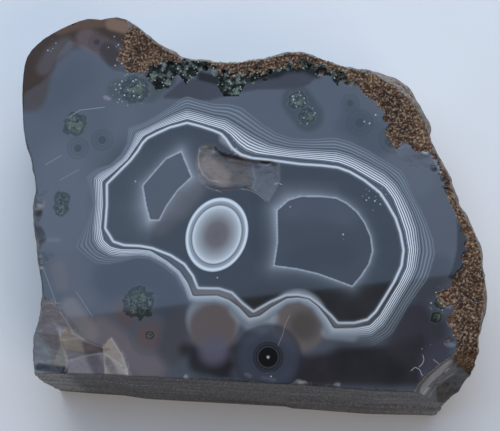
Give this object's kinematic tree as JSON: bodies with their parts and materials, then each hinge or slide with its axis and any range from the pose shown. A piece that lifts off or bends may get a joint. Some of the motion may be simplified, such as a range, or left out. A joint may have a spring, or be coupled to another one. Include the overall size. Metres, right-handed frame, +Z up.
{
  "type": "botswana agate",
  "caption": "Cut half of a banded agate nodule, polished on top, sawn along one side, with rough host rock on its rim. Lies flat.",
  "frame": {"origin": "middle of the stone's box, at the height of the flat base", "axes": "+Z up out of the polished face, +X along the sawn front, -Y out of the sawn front"},
  "size_m": [0.1052, 0.0908, 0.024],
  "materials": {
    "agate": "polished face, sawn front, rough rind"
  },
  "bodies": {
    "root": {"agate": "agate"}
  },
  "joints": []
}
